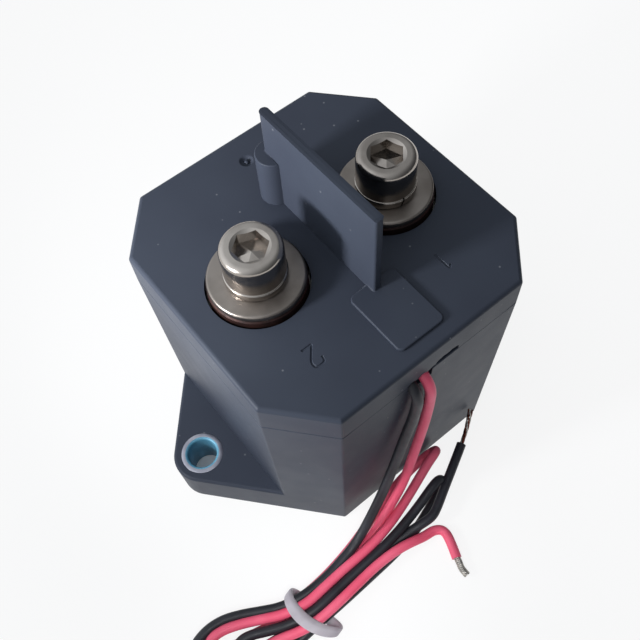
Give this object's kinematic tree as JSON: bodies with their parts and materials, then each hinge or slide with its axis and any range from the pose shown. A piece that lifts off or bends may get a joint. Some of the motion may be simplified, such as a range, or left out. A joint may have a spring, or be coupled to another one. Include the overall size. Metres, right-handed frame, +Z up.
{
  "type": "high voltage dc contactor",
  "caption": "Sealed high voltage dc contactor: drafted case with mounting ears, bolted power terminals, barrier plate and tied coil leads.",
  "frame": {"origin": "centre of the flat base, on the surface that it is bolted to", "axes": "+Z up out of the power terminals; +X from terminal 2 to terminal 1; the coil leads leave on the -Y side"},
  "size_m": [0.1219, 0.0965, 0.09],
  "materials": {
    "case_plastic": "satin",
    "zinc_plated_steel": "zinc plated",
    "stainless_steel": "polished",
    "copper": "bare",
    "ceramic": "matt",
    "insulating_board": "matt",
    "yoke_steel": "zinc plated",
    "soft_iron": "nickel plated",
    "magnet": "nickel plated",
    "spring_steel": "bright",
    "bobbin_plastic": "satin",
    "enamelled_wire": "enamelled",
    "black_rubber": "matt",
    "red_insulation": "satin",
    "black_insulation": "satin",
    "tinned_copper": "tinned",
    "natural_nylon": "translucent"
  },
  "bodies": {
    "case_body": {"housing": "case_plastic", "top_cover": "case_plastic", "mounting_bushing_left": "zinc_plated_steel", "mounting_bushing_right": "zinc_plated_steel", "terminal_post_1": "copper", "terminal_post_2": "copper", "flat_washers": "stainless_steel", "spring_washers": "stainless_steel", "terminal_screws": "stainless_steel", "arc_chamber": "ceramic", "chamber_weld_frame": "yoke_steel", "chamber_base_plate": "insulating_board", "blowout_magnet_front": "magnet", "blowout_magnet_back": "magnet", "magnet_yoke_front": "yoke_steel", "magnet_yoke_back": "yoke_steel", "yoke_frame": "yoke_steel", "yoke_plate": "yoke_steel", "coil_bobbin": "bobbin_plastic", "coil_winding": "enamelled_wire", "coil_pins": "tinned_copper", "plunger_sleeve": "stainless_steel", "fixed_core": "soft_iron", "plunger_buffer": "black_rubber", "return_spring": "spring_steel", "lead_red": "red_insulation", "lead_black": "black_insulation", "lead_hank": "black_insulation", "lead_red_end": "red_insulation", "lead_black_end": "black_insulation", "red_lead_strands": "tinned_copper", "black_lead_strands": "tinned_copper", "cable_tie": "natural_nylon"},
    "plunger_body": {"plunger": "soft_iron", "plunger_shaft": "stainless_steel", "retaining_clip": "spring_steel", "spring_seat": "spring_steel", "contact_spring": "spring_steel"},
    "contact_body": {"moving_contact": "copper"}
  },
  "joints": [
    {"name": "plunger_slide", "type": "slide", "parent": "case_body", "child": "plunger_body", "axis": [0, 0, 1], "range_m": [0, 0.0023], "stiffness_N_per_m": 1000, "springref_m": -0.006, "deforming": ["return_spring"]},
    {"name": "contact_overtravel", "type": "slide", "parent": "plunger_body", "child": "contact_body", "axis": [0, 0, -1], "range_m": [0, 0.00054], "deforming": ["contact_spring"]}
  ],
  "couplings": [
    {"joint": "contact_overtravel", "follows": "plunger_slide", "ratio": 0.23043}
  ]
}
